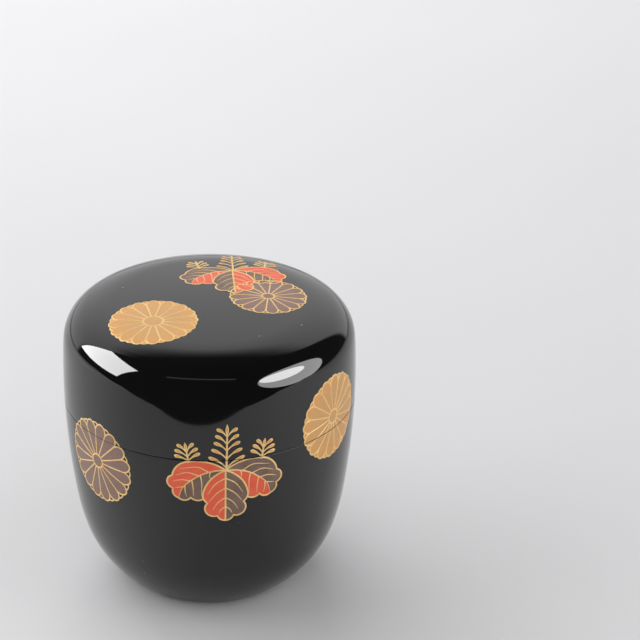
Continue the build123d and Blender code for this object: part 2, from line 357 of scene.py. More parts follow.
# Pattern scales are in features per metre, and bump heights in metres.
SPECK_SCALE = 420.0
SPECK_SIZE = 0.085
SPECK_PATCHES = 95.0
SPECK_RARITY = 0.70
SPECK_ROUGHNESS = 0.35
SPECK_COLOUR = rgb(150, 142, 130)
HAZE_SCALE = 38.0
HAZE_TINT = 1.7
HAZE_ROUGHNESS = 0.03
SWELL_SCALE = 85.0
SWELL = 0.05
POWDER_GRAIN = 5200.0
POWDER_DRIFT = 260.0
PETAL_GRAIN = 4800.0
PETAL_DRIFT = 300.0
RING_SCALE = 170.0
PORE_SCALE = 2600.0
PITH_TILT = (0.5, 0.2, 0.0)
PITH_PLACE = (0.02, 0.01, 0.0)
LACQUER_IOR = 1.56
POWDER_IOR = 1.5
FINE_BUMP = 0.00002


def black_urushi(name, tint, polish):
    """Polished black lacquer: a mirror with the faintest swell, dust specks and wiping haze."""
    finish = Finish(name, IOR=LACQUER_IOR)
    cells = finish.node("ShaderNodeTexVoronoi", [("Vector", finish.place)], Scale=SPECK_SCALE)
    rare = finish.math("GREATER_THAN", finish.noise(SPECK_PATCHES, 0.0), SPECK_RARITY)
    speck = finish.math("MULTIPLY", finish.math("LESS_THAN", cells.outputs["Distance"], SPECK_SIZE), rare)
    haze = finish.remap(finish.noise(HAZE_SCALE, 4.0, 0.6), 0.35, 0.75)
    hazy_tint = tuple(part * HAZE_TINT for part in tint[:3]) + (1.0,)
    finish.colour(finish.blend(speck, finish.blend(haze, tint, hazy_tint), SPECK_COLOUR))
    smooth = finish.remap(haze, 0.0, 1.0, polish, polish + HAZE_ROUGHNESS)
    finish.roughness(finish.math("ADD", smooth, finish.math("MULTIPLY", speck, SPECK_ROUGHNESS)))
    finish.bump(finish.noise(SWELL_SCALE, 1.0), SWELL, FINE_BUMP)
    return finish.material


def powder(name, low, high, metallic, roughness):
    """Metal or pigment powder set in lacquer: fine grain, with uneven sprinkling over a few millimetres."""
    finish = Finish(name, Metallic=metallic, IOR=POWDER_IOR)
    fine = finish.noise(POWDER_GRAIN, 2.0, 0.7)
    drift = finish.noise(POWDER_DRIFT, 3.0, 0.55)
    tone = finish.math("ADD", finish.math("MULTIPLY", fine, 0.6), finish.math("MULTIPLY", drift, 0.4))
    finish.colour(finish.blend(finish.remap(tone, 0.36, 0.64), low, high))
    finish.roughness(finish.remap(fine, 0.3, 0.7, roughness - 0.06, roughness + 0.1))
    finish.bump(fine, 0.35, FINE_BUMP)
    return finish.material


def petal_fill(name, inner, outer, fleck, metallic, roughness):
    """Powder that is sprinkled more thickly towards the petals' ends."""
    finish = Finish(name, Metallic=metallic, IOR=POWDER_IOR)
    along = finish.node("ShaderNodeAttribute", attribute_name="along").outputs["Fac"]
    fine = finish.noise(PETAL_GRAIN, 2.0, 0.7)
    drift = finish.noise(PETAL_DRIFT, 3.0, 0.6)
    reach = finish.math("ADD", along, finish.remap(drift, 0.3, 0.7, -0.12, 0.12))
    ground = finish.blend(finish.remap(reach, 0.55, 1.0), inner, outer)
    finish.colour(finish.blend(finish.remap(fine, 0.45, 0.7, 0.0, 0.55), ground, fleck))
    finish.roughness(finish.remap(fine, 0.3, 0.7, roughness - 0.05, roughness + 0.1))
    finish.bump(fine, 0.3, FINE_BUMP)
    return finish.material


def turned_wood(name):
    """Light turned wood: growth rings about a tilted pith, with fine pores."""
    finish = Finish(name, Roughness=0.6, IOR=1.45)
    tilt = finish.node("ShaderNodeMapping", [("Vector", finish.place)],
                       Rotation=PITH_TILT, Location=PITH_PLACE)
    rings = finish.node("ShaderNodeTexWave", [("Vector", tilt.outputs["Vector"])], wave_type="RINGS",
                        Scale=RING_SCALE, Distortion=2.5, Detail=3.0)
    pores = finish.noise(PORE_SCALE, 3.0, 0.7)
    ringed = finish.math("MULTIPLY", rings.outputs["Fac"], 0.7)
    tone = finish.math("ADD", ringed, finish.math("MULTIPLY", pores, 0.3))
    finish.colour(finish.blend(tone, rgb(196, 150, 98), rgb(150, 104, 62)))
    finish.bump(tone, 0.2, 0.00003)
    return finish.material


WOOD = turned_wood("turned_wood")
# Each finish goes with the record's material slot that it belongs to.
OUTER_LACQUER = (black_urushi("outer_lacquer", rgb(9, 8, 9), 0.03), "black_lacquer")
INSIDE_LACQUER = (black_urushi("inside_lacquer", rgb(16, 14, 13), 0.09), "inner_lacquer")
GOLD_LINE = (powder("gold_line", rgb(240, 186, 110), rgb(255, 222, 152), 0.12, 0.4), "gold_powder")
GOLD_FLORET = (powder("gold_floret", rgb(222, 148, 70), rgb(246, 182, 102), 0.15, 0.4), "gold_powder")
VERMILION = (powder("vermilion", rgb(240, 86, 54), rgb(253, 112, 76), 0.0, 0.42), "vermilion_lacquer")
RUSSET = (powder("russet", rgb(100, 78, 66), rgb(144, 116, 100), 0.08, 0.42), "russet_lacquer")
GOLD_PETAL = (petal_fill("gold_petal", rgb(216, 162, 98), rgb(228, 162, 88), rgb(246, 198, 128), 0.12, 0.4),
              "gold_powder")
RUSSET_PETAL = (petal_fill("russet_petal", rgb(140, 110, 100), rgb(134, 104, 90), rgb(174, 144, 130),
                           0.06, 0.42), "russet_lacquer")


# ---------------------------------------------------------------- pieces
SHARP_EDGE = math.radians(30)


def make_piece(name, bm, finish, body, replaced=()):
    """Turn a bmesh in the caddy's frame into a named piece that rides on a body."""
    material, slot = finish
    mesh = bpy.data.meshes.new(name)
    bm.to_mesh(mesh)
    bm.free()
    mesh.shade_smooth()
    mesh.set_sharp_from_angle(angle=SHARP_EDGE)
    mesh.materials.append(material)
    piece = bpy.data.objects.new(name, mesh)
    bpy.context.scene.collection.objects.link(piece)
    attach(piece, body)
    if replaced:
        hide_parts(*replaced)


def show_wood():
    """Give the two wooden cores, which keep their CAD meshes, their turned wood."""
    for node in ("body_core", "lid_core"):
        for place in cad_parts[node].material_slots:
            place.material = WOOD


def make_coats():
    """Turn the five lacquer coats. An open profile runs from axis to axis."""
    coats = (
        ("body_side_coat", side_coat_profile(), True, OUTER_LACQUER, "body", "body_side_lacquer"),
        ("base_coat", base_coat_profile(), False, OUTER_LACQUER, "body", "base_lacquer"),
        ("body_inside_coat", skin_profile(body_inner_curve), False, INSIDE_LACQUER, "body",
         "body_inner_lacquer"),
        ("lid_coat", lid_coat_profile(), False, OUTER_LACQUER, "lid", "lid_outer_lacquer"),
        ("lid_inside_coat", skin_profile(lid_inner_curve), False, INSIDE_LACQUER, "lid", "lid_inner_lacquer"),
    )
    for name, profile, closed, finish, body, node in coats:
        make_piece(name, turn_profile(without_repeats(profile), closed), finish, body, [node])


# ---------------------------------------------------------------- flat drawing of the pictures
# A picture is drawn flat in millimetres, u to the right, v up and its height off the lacquer along z,
# and is then bent onto the side or the crown.
LINE = 0.19                 # half the width of an outline
THIN_LINE = 0.14            # half the width of a vein
FLATNESS = 0.30             # height of a raised line over its width
PATH_STEP = 0.35
TAPER = 0.75                # share of its width that a fading line loses
CAP_MERGE = 1e-5            # joins the end caps of drawn lines to them
SIDE_LEVEL = 0.03           # top of the lower fills
FRONT_LEVEL = 0.055         # top of the fills that lie over others
SUNK = -0.02                # fills reach this far into the lacquer


def polar(radius, degrees):
    """Flat point at a distance from the origin, its angle counted from v towards u."""
    return Vector((radius * math.sin(math.radians(degrees)), radius * math.cos(math.radians(degrees))))


def arc_through(start, middle, end):
    """Points on the circular arc through three points."""
    a, b, c = Vector(start), Vector(middle), Vector(end)
    ab, ac = b - a, c - a
    cross = 2 * (ab.x * ac.y - ab.y * ac.x)
    centre = a + Vector((ac.y * ab.length_squared - ab.y * ac.length_squared,
                         ab.x * ac.length_squared - ac.x * ab.length_squared)) / cross
    spokes = [p - centre for p in (a, b, c)]
    first, through, last = [math.atan2(s.y, s.x) for s in spokes]
    turn = (last - first) % math.tau
    if (through - first) % math.tau > turn:
        turn -= math.tau
    radius = spokes[0].length
    steps = max(3, math.ceil(abs(turn) * radius / PATH_STEP))
    angles = [first + turn * i / steps for i in range(steps + 1)]
    return [centre + Vector((math.cos(t), math.sin(t))) * radius for t in angles]


def smooth_through(points):
    """Points on a Catmull-Rom curve through the given ones."""
    points = [Vector(p) for p in points]
    if len(points) == 2:
        points.insert(1, (points[0] + points[1]) / 2)
    ends = [2 * points[0] - points[1]] + points + [2 * points[-1] - points[-2]]
    path = []
    for before, start, end, after in zip(ends, ends[1:], ends[2:], ends[3:]):
        steps = max(1, math.ceil((end - start).length / PATH_STEP))
        for i in range(steps):
            t = i / steps
            path.append(0.5 * (2 * start + (end - before) * t
                               + (2 * before - 5 * start + 4 * end - after) * t * t
                               + (3 * start - before - 3 * end + after) * t ** 3))
    return path + [points[-1]]


def evenly(path, count):
    """count points at equal distances along a path."""
    lengths = [0.0]
    for start, end in zip(path, path[1:]):
        lengths.append(lengths[-1] + (end - start).length)
    found = []
    k = 0
    for i in range(count):
        goal = lengths[-1] * i / (count - 1)
        while k < len(path) - 2 and lengths[k + 1] < goal:
            k += 1
        part = (goal - lengths[k]) / max(lengths[k + 1] - lengths[k], 1e-9)
        found.append(path[k].lerp(path[k + 1], min(part, 1.0)))
    return found


def new_lines():
    """An empty set of drawn lines, whose points' radii are half their widths."""
    lines = bpy.data.curves.new("lines", "CURVE")
    lines.dimensions = "3D"
    lines.twist_mode = "Z_UP"
    lines.bevel_depth = 1.0
    lines.bevel_resolution = 2
    lines.use_fill_caps = True
    return lines


def draw_line(lines, path, width, closed=False, level=0.0):
    """Add a path; width is a number, or a function of the share of the way along."""
    spline = lines.splines.new("POLY")
    spline.points.add(len(path) - 1)
    spline.use_cyclic_u = closed
    for i, (point, place) in enumerate(zip(spline.points, path)):
        share = i / (len(path) - 1)
        point.co = (place.x, place.y, level, 1.0)
        point.radius = width(share) if callable(width) else width


def raise_lines(lines, lift, flatness=FLATNESS):
    """Mesh of the drawn lines as low rounded ridges."""
    holder = bpy.data.objects.new("lines", lines)
    mesh = bpy.data.meshes.new_from_object(holder)
    bm = bmesh.new()
    bm.from_mesh(mesh)
    bpy.data.objects.remove(holder)
    bpy.data.curves.remove(lines)
    bpy.data.meshes.remove(mesh)
    bmesh.ops.remove_doubles(bm, verts=bm.verts, dist=CAP_MERGE)
    bmesh.ops.scale(bm, vec=(1, 1, flatness), verts=bm.verts)
    bmesh.ops.translate(bm, vec=(0, 0, lift), verts=bm.verts)
    return bm


def fading(width):
    """Line width that tapers to a point at its far end."""
    return lambda share: width * (1 - TAPER * share ** 1.5)


def thicken(bm, top):
    """Give a flat fill its thickness, from its top down into the lacquer."""
    made = bmesh.ops.extrude_face_region(bm, geom=bm.faces[:])
    lowered = [v for v in made["geom"] if isinstance(v, bmesh.types.BMVert)]
    bmesh.ops.translate(bm, vec=(0, 0, SUNK - top), verts=lowered)
    bmesh.ops.recalc_face_normals(bm, faces=bm.faces)


def fill_between(bm, first, second, top, along=40, across=7):
    """Fill the area between two paths that share their ends, with its top at a height."""
    patch = bmesh.new()
    bmesh.ops.create_grid(patch, x_segments=along, y_segments=across, size=0.5)
    one = evenly(first, along + 1)
    other = evenly(second, along + 1)
    for vert in patch.verts:
        i = round((vert.co.x + 0.5) * along)
        place = one[i].lerp(other[i], vert.co.y + 0.5)
        vert.co = (place.x, place.y, top)
    bmesh.ops.remove_doubles(patch, verts=patch.verts, dist=SAME_PLACE)
    thicken(patch, top)
    join(bm, patch)


def join(bm, other):
    """Add another bmesh's geometry to bm."""
    mesh = bpy.data.meshes.new("part")
    other.to_mesh(mesh)
    other.free()
    bm.from_mesh(mesh)
    bpy.data.meshes.remove(mesh)


# Chrysanthemum: petals with round ends, the tips of back petals between them, and an eye.
PETALS = 16
HALF_PETAL = 180 / PETALS
SPOKE_END = 0.80            # where two petals part, as a share of the radius
SPOKE_LINE = THIN_LINE * 1.1
TIP_LINE = LINE * 0.9
CAP_MIDDLE = SPOKE_END * math.cos(math.radians(HALF_PETAL))
CAP_HALF_WIDTH = SPOKE_END * math.sin(math.radians(HALF_PETAL))
TIP_REACH = 6.2             # half the angle that a back petal's tip spans, degrees
TIP_EDGE = 0.955            # where a back petal's tip meets its neighbours, as a share of the outline
TIP_RISE = 0.032
RING_STEPS = 48
CAP_STEPS = 20
TIP_STEPS = 12
FILL_STEPS = 16             # steps of a fill across one petal
FILL_ROWS = 12
EYE_HOLE = 0.01             # share of the radius where the fill starts


def cap_radius(radius, offset):
    """Distance from the eye to a petal's rounded end, offset degrees from the petal's middle."""
    outer = radius - LINE
    half_long = outer - CAP_MIDDLE * radius
    half_wide = CAP_HALF_WIDTH * radius
    s, c = math.sin(math.radians(offset)), math.cos(math.radians(offset))
    a = (s / half_wide) ** 2 + (c / half_long) ** 2
    b = -2 * CAP_MIDDLE * radius * c / half_long ** 2
    k = (CAP_MIDDLE * radius / half_long) ** 2 - 1
    return (-b + math.sqrt(max(b * b - 4 * a * k, 0.0))) / (2 * a)


def rim_radius(radius, offset):
    """Distance from the eye to a back petal's tip, offset degrees from the tip's middle."""
    return (radius - LINE) * (TIP_EDGE + TIP_RISE * math.cos(offset / TIP_REACH * math.pi / 2))


def spread(half, steps):
    """Offsets from -half to half in equal steps."""
    return [half * (2 * i / steps - 1) for i in range(steps + 1)]


def chrysanthemum_lines(radius, eye, turn):
    """Ring of the eye, and each petal's spoke, rounded end and back petal."""
    lines = new_lines()
    draw_line(lines, [polar(eye, 360 * i / RING_STEPS) for i in range(RING_STEPS)], LINE, closed=True)
    for petal in range(PETALS):
        middle = turn + 360 * petal / PETALS
        side = middle + HALF_PETAL
        draw_line(lines, smooth_through([polar(eye, side), polar(SPOKE_END * radius, side)]), SPOKE_LINE)
        end = [polar(cap_radius(radius, o), middle + o) for o in spread(HALF_PETAL, CAP_STEPS)]
        draw_line(lines, end, LINE)
        tip = [polar(rim_radius(radius, o), side + o) for o in spread(TIP_REACH, TIP_STEPS)]
        draw_line(lines, tip, TIP_LINE)
    return raise_lines(lines, SIDE_LEVEL)


def chrysanthemum_fill(radius, turn, to_rim):
    """Fill of the petals; to_rim also fills the tips of the back petals."""
    bm = bmesh.new()
    bmesh.ops.create_grid(bm, x_segments=PETALS * FILL_STEPS, y_segments=FILL_ROWS, size=0.5)
    along = bm.verts.layers.float.new("along")
    for vert in bm.verts:
        angle = 360 * (vert.co.x + 0.5)
        offset = (angle + HALF_PETAL) % (2 * HALF_PETAL) - HALF_PETAL
        share = EYE_HOLE + (1 - EYE_HOLE) * (vert.co.y + 0.5)
        reach = cap_radius(radius, offset)
        if to_rim and HALF_PETAL - abs(offset) < TIP_REACH:
            reach = max(reach, rim_radius(radius, HALF_PETAL - abs(offset)))
        place = polar(share * reach, turn + angle)
        vert[along] = share
        vert.co = (place.x, place.y, SIDE_LEVEL)
    bmesh.ops.remove_doubles(bm, verts=bm.verts, dist=SAME_PLACE)
    middle = [e for e in bm.edges if e.is_boundary and e.verts[0].co.xy.length < radius / 2]
    bmesh.ops.holes_fill(bm, edges=middle, sides=0)
    thicken(bm, SIDE_LEVEL)
    return bm


# Paulownia: one leaf hangs down over two side leaves, and three sprays stand above them. Its right half
# is given. A lobe is an arc from the end of the one before, given by its middle and its end.
HANGING_HALF = (((3.3, -2.3), (4.9, -5.6)), ((4.9, -7.2), (4.0, -8.4)),
                ((4.1, -11.2), (1.8, -11.8)), ((1.2, -12.7), (0.0, -13.1)))
SIDE_UPPER = (((3.5, 2.0), (7.4, 2.3)), ((10.6, 0.8), (11.7, -1.6)),
              ((12.9, -3.3), (11.6, -4.9)), ((11.6, -6.3), (10.4, -7.3)))
SIDE_LOWER_LOBES = (((6.3, -7.7), (7.7, -7.0)), ((9.0, -7.8), (10.4, -7.3)))
SIDE_LOWER_START = (4.8, -7.2)
SIDE_RIB = ((0, 0), (2.4, -0.1), (5.2, -1.0), (7.9, -2.9), (9.5, -4.7), (10.4, -7.3))
HANGING_VEINS = (((0, -2.0), (2.2, -3.4), (3.9, -6.0)), ((0, -4.5), (2.0, -5.9), (3.7, -8.1)),
                 ((0, -7.0), (1.7, -8.3), (2.9, -10.3)), ((0, -9.4), (1.0, -10.2), (1.5, -11.2)))
SIDE_UPPER_VEINS = (((3.6, -0.4), (6.2, 0.9), (9.9, 0.3)), ((5.8, -1.3), (8.4, -0.6), (10.9, -1.5)),
                    ((7.7, -2.7), (9.6, -2.5), (11.6, -3.1)), ((9.2, -4.3), (10.2, -4.5), (11.1, -4.7)))
SIDE_LOWER_VEINS = (((3.3, -0.4), (3.5, -1.3), (3.3, -2.1)), ((5.5, -1.2), (5.2, -3.2), (5.3, -6.4)),
                    ((7.4, -2.4), (7.1, -4.6), (7.1, -6.6)), ((8.9, -4.0), (8.9, -5.4), (8.6, -6.9)))
# A spray: its foot, its lean in degrees, its length, and each pair of florets' rise, reach and tip height.
TALL_SPRAY = ((0.2, 0.0), -1.0, 11.3, ((0.6, 4.0, 3.4), (2.9, 3.4, 5.3), (4.9, 2.9, 7.0),
                                       (6.5, 2.6, 8.7), (8.3, 2.3, 10.3)))
SHORT_SPRAY = ((8.0, 1.9), -9.0, 5.0, ((0.5, 2.9, 2.1), (1.5, 2.6, 3.4), (2.6, 1.9, 4.7)))
SPRAYS = ((TALL_SPRAY, 1), (SHORT_SPRAY, -1), (SHORT_SPRAY, 1))
MIDRIB = ((0, 0), (0, -6.5), (0, -13.1))
MIDRIB_LINE = ((0, 0), (0, -6.5), (0, -13.0))
SIDE_LOWER_TOP = ((0, 0), (1.8, -2.2), (3.2, -4.6), SIDE_LOWER_START)


def lobes(start, arcs):
    """Path from start through arcs, each given by its middle and its end."""
    path = [Vector(start)]
    for middle, end in arcs:
        path += arc_through(path[-1], middle, end)[1:]
    return path


def mirrored(path, side):
    """A path of the right half on its own side (1), or on the left (-1)."""
    return [Vector((side * p[0], p[1])) for p in path]


def leaf_halves():
    """Each half leaf's side of the spray (-1, 0 or 1), which half it is, and its two edges."""
    hanging = lobes((0, 0), HANGING_HALF)
    rib = smooth_through(SIDE_RIB)
    upper = lobes((0, 0), SIDE_UPPER)
    lower = smooth_through(SIDE_LOWER_TOP) + lobes(SIDE_LOWER_START, SIDE_LOWER_LOBES)[1:]
    midrib = smooth_through(MIDRIB)
    halves = []
    for side in (-1, 1):
        halves.append((side, "upper", mirrored(rib, side), mirrored(upper, side)))
        halves.append((side, "lower", mirrored(rib, side), mirrored(lower, side)))
        halves.append((0, "left" if side < 0 else "right", midrib, mirrored(hanging, side)))
    return halves


def leaf_fill(chosen):
    """Fill of the chosen half leaves, each named by its side and half."""
    bm = bmesh.new()
    for side, half, rib, edge in leaf_halves():
        if (side, half) in chosen:
            fill_between(bm, rib, edge, FRONT_LEVEL if side == 0 else SIDE_LEVEL)
    return bm


def leaf_lines():
    """Edges, ribs and veins of the three leaves."""
    lines = new_lines()
    lift = (FRONT_LEVEL - SIDE_LEVEL) / FLATNESS
    rib = smooth_through(SIDE_RIB)
    upper = lobes((0, 0), SIDE_UPPER)
    lower = lobes(SIDE_LOWER_START, SIDE_LOWER_LOBES)
    hanging = lobes((0, 0), HANGING_HALF)
    for side in (-1, 1):
        draw_line(lines, mirrored(upper, side), LINE)
        draw_line(lines, mirrored(lower, side), LINE)
        draw_line(lines, mirrored(rib, side), fading(LINE))
        for vein in SIDE_UPPER_VEINS + SIDE_LOWER_VEINS:
            draw_line(lines, mirrored(smooth_through(vein), side), fading(THIN_LINE))
        draw_line(lines, mirrored(hanging, side), LINE, level=lift)
        for vein in HANGING_VEINS:
            draw_line(lines, mirrored(smooth_through(vein), side), fading(THIN_LINE), level=lift)
    draw_line(lines, smooth_through(MIDRIB_LINE), LINE, level=lift)
    return raise_lines(lines, SIDE_LEVEL)


FLORET_STEPS = 22
BUD_HEART = slice(4, 15)    # stretch of a bud, or of a club, that its heart fills
CLUB_HEART = slice(12, 20)
SPRAY_FLATNESS = 0.16
SPRAY_LIFT = 0.015
HEART_LIFT = 0.070
CLUB_WIDEST = 0.8           # share of the way along where a club is widest
CLUB_SWELLS = 0.3           # share of the way along where it starts to swell
CLUB_STALK = 0.15
CLUB_SWELL = 0.27


def stem_width(share):
    """Half the width of a spray's stem, from its foot up."""
    return 0.25 - 0.08 * share


def club_width(share):
    """Half the width of a floret: a thin stalk that swells to a club with a round end."""
    if share > CLUB_WIDEST:
        rest = (share - CLUB_WIDEST) / (1 - CLUB_WIDEST)
        return (CLUB_STALK + CLUB_SWELL) * math.sqrt(max(0.0, 1 - rest ** 2))
    swell = max(0.0, (share - CLUB_SWELLS) / (CLUB_WIDEST - CLUB_SWELLS))
    return CLUB_STALK + CLUB_SWELL * swell * swell * (3 - 2 * swell)


def bud_width(share):
    """Half the width of the pointed bud at the top of a spray."""
    return 0.16 + 0.26 * math.sin(math.pi * share ** 0.8) - 0.1 * share


def heart_width(share):
    """Half the width of a floret's heart."""
    return 0.05 + 0.14 * math.sin(math.pi * share)


def spray_paths(spray, side):
    """A spray's stem, and its florets from stem to tip."""
    foot, lean, length, florets = spray
    place = Matrix.Rotation(math.radians(lean), 2)

    def set_out(points):
        return mirrored([place @ Vector(p) + Vector(foot) for p in smooth_through(points)], side)

    last = florets[-1][0]
    bud = set_out(((0, last + 0.6), (0, (last + length) / 2 + 0.3), (0, length)))
    clubs = []
    for rise, reach, tip in florets:
        for way in (-1, 1):
            bow = (way * reach * 0.42, rise + (tip - rise) * 0.58)
            clubs.append(set_out(((0, rise), bow, (way * reach, tip))))
    return set_out(((0, 0), (0, last / 2), (0, last + 0.8))), bud, clubs


def spray_lines():
    """Stems, buds and clubs of the three sprays."""
    lines = new_lines()
    for spray, side in SPRAYS:
        stem, bud, clubs = spray_paths(spray, side)
        draw_line(lines, stem, stem_width)
        draw_line(lines, evenly(bud, FLORET_STEPS), bud_width)
        for club in clubs:
            draw_line(lines, evenly(club, FLORET_STEPS), club_width)
    return raise_lines(lines, SPRAY_LIFT, SPRAY_FLATNESS)


def floret_hearts():
    """The deeper gold along the middle of each floret."""
    lines = new_lines()
    for spray, side in SPRAYS:
        _, bud, clubs = spray_paths(spray, side)
        draw_line(lines, evenly(bud, FLORET_STEPS)[BUD_HEART], heart_width)
        for club in clubs:
            draw_line(lines, evenly(club, FLORET_STEPS)[CLUB_HEART], heart_width)
    return raise_lines(lines, HEART_LIFT, SPRAY_FLATNESS)


# ---------------------------------------------------------------- pictures on the caddy
CUTS = {                    # where pictures stop, above the seam
    "lid": SEAM_GAP + SEAM_ROUND,
    "body": -SEAM_ROUND,
}


def on_caddy(run, azimuth, lift):
    """Point in the caddy's frame, azimuth in radians, moved outwards from the lacquer by lift."""
    place = outer_place(run, lift)
    return Vector((place.x * math.sin(azimuth), -place.x * math.cos(azimuth), place.y)) * MM


def bend_onto_side(bm, azimuth, height):
    """Bend a flat picture onto the side, its origin at an azimuth and height."""
    run = run_at_height(height)
    for vert in bm.verts:
        vert.co = on_caddy(run + vert.co.y, math.radians(azimuth) + vert.co.x / SIDE_RADIUS, vert.co.z)


def lay_on_crown(bm, x, y, turn=0.0, size=1.0):
    """Lay a flat picture on the crown, its origin at x, y, turned by degrees."""
    place = Matrix.Rotation(math.radians(turn), 2) * size
    for vert in bm.verts:
        spot = place @ vert.co.xy + Vector((x, y))
        vert.co = on_caddy(run_at_crown_radius(spot.length), math.atan2(spot.x, -spot.y), vert.co.z)


def cut_at_seam(bm, height, body):
    """Keep the part of a flat picture that lies on a body; None if there is none."""
    cut = run_at_height(SEAM + CUTS[body]) - run_at_height(height)
    on_lid = body == "lid"
    bmesh.ops.bisect_plane(bm, geom=bm.verts[:] + bm.edges[:] + bm.faces[:], dist=SAME_PLACE,
                           plane_co=(0, cut, 0), plane_no=(0, 1, 0),
                           clear_inner=on_lid, clear_outer=not on_lid)
    if not bm.faces:
        bm.free()
        return None
    bmesh.ops.holes_fill(bm, edges=[e for e in bm.edges if e.is_boundary], sides=0)
    return bm


def side_picture(name, draw, place, finish, replaced):
    """Make a side picture's pieces; replaced gives, for each body, the CAD nodes they stand for."""
    azimuth, height = place
    for body, nodes in replaced.items():
        bm = cut_at_seam(draw(), height, body)
        if bm is None:
            continue
        bend_onto_side(bm, azimuth, height)
        make_piece(f"{name}_{body}", bm, finish, body, nodes)


def crown_picture(name, bm, place, finish, replaced=()):
    """Make a piece of a picture on the crown."""
    lay_on_crown(bm, *place)
    make_piece(name, bm, finish, "lid", replaced)


FILLS = {
    "gold": GOLD_PETAL,
    "russet": RUSSET_PETAL,
}
# Name, azimuth and height of the eye, radius, radius of the eye, turn of the petals, fill.
SIDE_CHRYSANTHEMUMS = (
    ("right_chrysanthemum", (49.3, 48.2), 10.1, 1.6, 4.0, "gold"),
    ("back_chrysanthemum", (178.0, 42.0), 10.1, 1.6, 0.0, "gold"),
    ("left_chrysanthemum", (-55.1, 38.8), 10.1, 1.65, 11.25, "russet"),
)
# Name, x and y of the eye, radius, radius of the eye, turn of the petals, fill.
CROWN_CHRYSANTHEMUMS = (
    ("crown_gold_chrysanthemum", (-13.3, -9.6), 9.9, 2.2, 5.0, "gold"),
    ("crown_russet_chrysanthemum", (13.2, -0.3), 8.8, 1.35, 0.0, "russet"),
)
RED_OUTSIDE = [(-1, "upper"), (0, "left"), (1, "lower")]
RED_INSIDE = [(-1, "lower"), (0, "right"), (1, "upper")]
# Name, azimuth and height of the sprays' foot, red half leaves, russet half leaves.
SIDE_PAULOWNIAS = (
    ("front_paulownia", (0.0, 42.6), RED_OUTSIDE, RED_INSIDE),
    ("right_back_paulownia", (113.0, 42.6), RED_INSIDE, RED_OUTSIDE),
    ("left_back_paulownia", (-118.0, 42.6), RED_OUTSIDE, RED_INSIDE),
)
CROWN_PAULOWNIA = (6.7, 14.0, -3.0, 0.93)


def make_side_chrysanthemums():
    """Roundels on the side, each in two parts where the seam crosses it."""
    for name, place, radius, eye, turn, fill in SIDE_CHRYSANTHEMUMS:
        side_picture(f"{name}_petals", lambda: chrysanthemum_fill(radius, turn, fill == "gold"), place,
                     FILLS[fill], {"lid": [f"{name}_upper"], "body": [f"{name}_lower"]})
        side_picture(f"{name}_lines", lambda: chrysanthemum_lines(radius, eye, turn), place,
                     GOLD_LINE, {"lid": [], "body": []})


def make_side_paulownias():
    """Paulownia on the side, its leaves under the seam and its sprays across it."""
    for name, place, red, russet in SIDE_PAULOWNIAS:
        side_picture(f"{name}_red_leaf_halves", lambda: leaf_fill(red), place,
                     VERMILION, {"body": [f"{name}_leaves"]})
        side_picture(f"{name}_russet_leaf_halves", lambda: leaf_fill(russet), place, RUSSET, {"body": []})
        side_picture(f"{name}_leaf_lines", leaf_lines, place, GOLD_LINE, {"body": []})
        side_picture(f"{name}_sprays", spray_lines, place, GOLD_LINE,
                     {"lid": [f"{name}_flowers"], "body": [f"{name}_stems"]})
        side_picture(f"{name}_floret_hearts", floret_hearts, place, GOLD_FLORET, {"lid": []})


def make_crown_pictures():
    """Two chrysanthemums and one paulownia on the crown."""
    for name, place, radius, eye, turn, fill in CROWN_CHRYSANTHEMUMS:
        petals = chrysanthemum_fill(radius, turn, fill == "gold")
        crown_picture(f"{name}_petals", petals, place, FILLS[fill], [name])
        crown_picture(f"{name}_lines", chrysanthemum_lines(radius, eye, turn), place, GOLD_LINE)
    paulownia = (
        ("red_leaf_halves", leaf_fill(RED_INSIDE), VERMILION, ["crown_paulownia_leaves"]),
        ("russet_leaf_halves", leaf_fill(RED_OUTSIDE), RUSSET, []),
        ("leaf_lines", leaf_lines(), GOLD_LINE, []),
        ("sprays", spray_lines(), GOLD_LINE, ["crown_paulownia_flowers"]),
        ("floret_hearts", floret_hearts(), GOLD_FLORET, []),
    )
    for part, bm, finish, replaced in paulownia:
        crown_picture(f"crown_paulownia_{part}", bm, CROWN_PAULOWNIA, finish, replaced)


# ---------------------------------------------------------------- studio
CAMERA_PLACE = Vector((-48.2, -490.0, 306.7)) * MM
CAMERA_TURN = -8.5          # about the upright axis, degrees
CAMERA_DIP = 26.36
CAMERA_ROLL = 0.84
CAMERA_LENS = 137.8
TABLE_EDGE = -0.142         # front edge of the part of the table that the lacquer mirrors
TABLE_TURN = -14.0
TABLE_REACH = 2.6
BACKDROP_SIDES = (0.55, 0.63)   # y of a level direction where the backdrop begins, and where it is full
BACKDROP_TOP = (0.88, 0.70)     # z of a direction where the backdrop ends, and where it is still full
BACKDROP = (1.05, 1.05, 1.06, 1.0)
DARK_ROOM = (0.05, 0.05, 0.05, 1.0)
ROOM_LIGHT = (0.32, 0.32, 0.324, 1.0)
